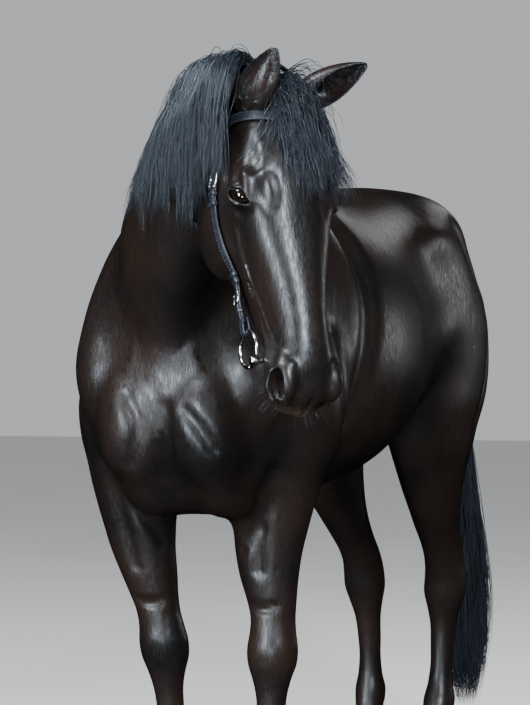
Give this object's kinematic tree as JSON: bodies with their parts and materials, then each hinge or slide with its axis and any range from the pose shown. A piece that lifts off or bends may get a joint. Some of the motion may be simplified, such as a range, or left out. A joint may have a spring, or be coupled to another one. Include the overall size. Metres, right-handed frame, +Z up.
{
  "type": "horse",
  "caption": "Life-size still horse, near-black, standing with its neck turned to its left and its head down, in a snaffle bridle without reins.",
  "frame": {"origin": "middle of the whole horse's footprint box, on the ground under its hooves", "axes": "+X to the front along the trunk, +Y to the horse's left, +Z up"},
  "size_m": [2.1988, 0.8572, 1.7272],
  "materials": {
    "coat": "short glossy hair, near-black with a dark brown tint",
    "hair": "long coarse black hair with a cool sheen",
    "hoof": "dark horn with growth rings, half matt",
    "eye": "wet dark brown eye",
    "bridle_leather": "blue-black leather, satin, worn paler at its edges",
    "bridle_steel": "polished steel"
  },
  "bodies": {
    "root": {"trunk": "coat", "neck": "coat", "head": "coat", "ear_left": "coat", "ear_right": "coat", "foreleg_left": "coat", "foreleg_right": "coat", "hindleg_left": "coat", "hindleg_right": "coat", "eye_left": "eye", "eye_right": "eye", "hoof_fore_left": "hoof", "hoof_fore_right": "hoof", "hoof_hind_left": "hoof", "hoof_hind_right": "hoof", "mane": "hair", "forelock": "hair", "tail": "hair", "bridle_crownpiece": "bridle_leather", "bridle_browband": "bridle_leather", "bridle_throatlatch": "bridle_leather", "bridle_cheekpiece_left": "bridle_leather", "bridle_cheekpiece_right": "bridle_leather", "bridle_buckle_left": "bridle_steel", "bridle_buckle_right": "bridle_steel", "bridle_bit": "bridle_steel"}
  },
  "joints": []
}
